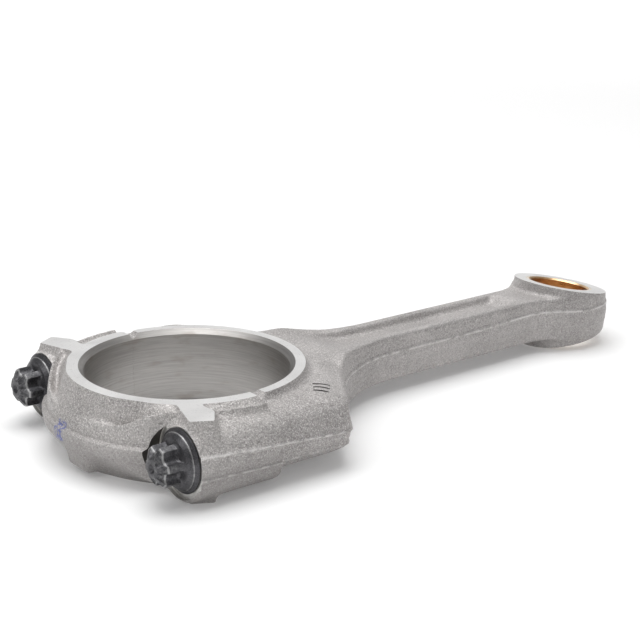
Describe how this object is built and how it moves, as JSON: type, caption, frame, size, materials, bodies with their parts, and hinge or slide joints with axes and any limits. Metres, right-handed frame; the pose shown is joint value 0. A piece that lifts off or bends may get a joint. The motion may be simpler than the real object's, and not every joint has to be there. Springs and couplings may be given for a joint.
{
  "type": "connecting rod",
  "caption": "Engine connecting rod with an I-section shank, a split big end closed by a bolted bearing cap, and a bushed tapered small end.",
  "frame": {"origin": "bottom centre of the rod's box, where it lies on its lower thrust faces", "axes": "+X from the big end to the small end, +Y across the rod, +Z along both bores"},
  "size_m": [0.2144, 0.0924, 0.023],
  "materials": {
    "forged_steel": "shot-blasted forging with machined faces and bores",
    "cap_steel": "shot-blasted forging with machined faces and bores",
    "phosphated_bolt": "black phosphate, lightly oiled",
    "bushing_bronze": "machined bronze"
  },
  "bodies": {
    "rod": {"rod_body": "forged_steel", "pin_bushing": "bushing_bronze"},
    "cap": {"bearing_cap": "cap_steel"},
    "bolt_near": {"cap_bolt_near": "phosphated_bolt"},
    "bolt_far": {"cap_bolt_far": "phosphated_bolt"}
  },
  "joints": [
    {"name": "cap_release", "type": "slide", "parent": "rod", "child": "cap", "axis": [-1, 0, 0], "range_m": [0, 0.03]},
    {"name": "near_bolt_draw", "type": "slide", "parent": "cap", "child": "bolt_near", "axis": [-1, 0, 0], "range_m": [0, 0.042]},
    {"name": "far_bolt_draw", "type": "slide", "parent": "cap", "child": "bolt_far", "axis": [-1, 0, 0], "range_m": [0, 0.042]}
  ]
}
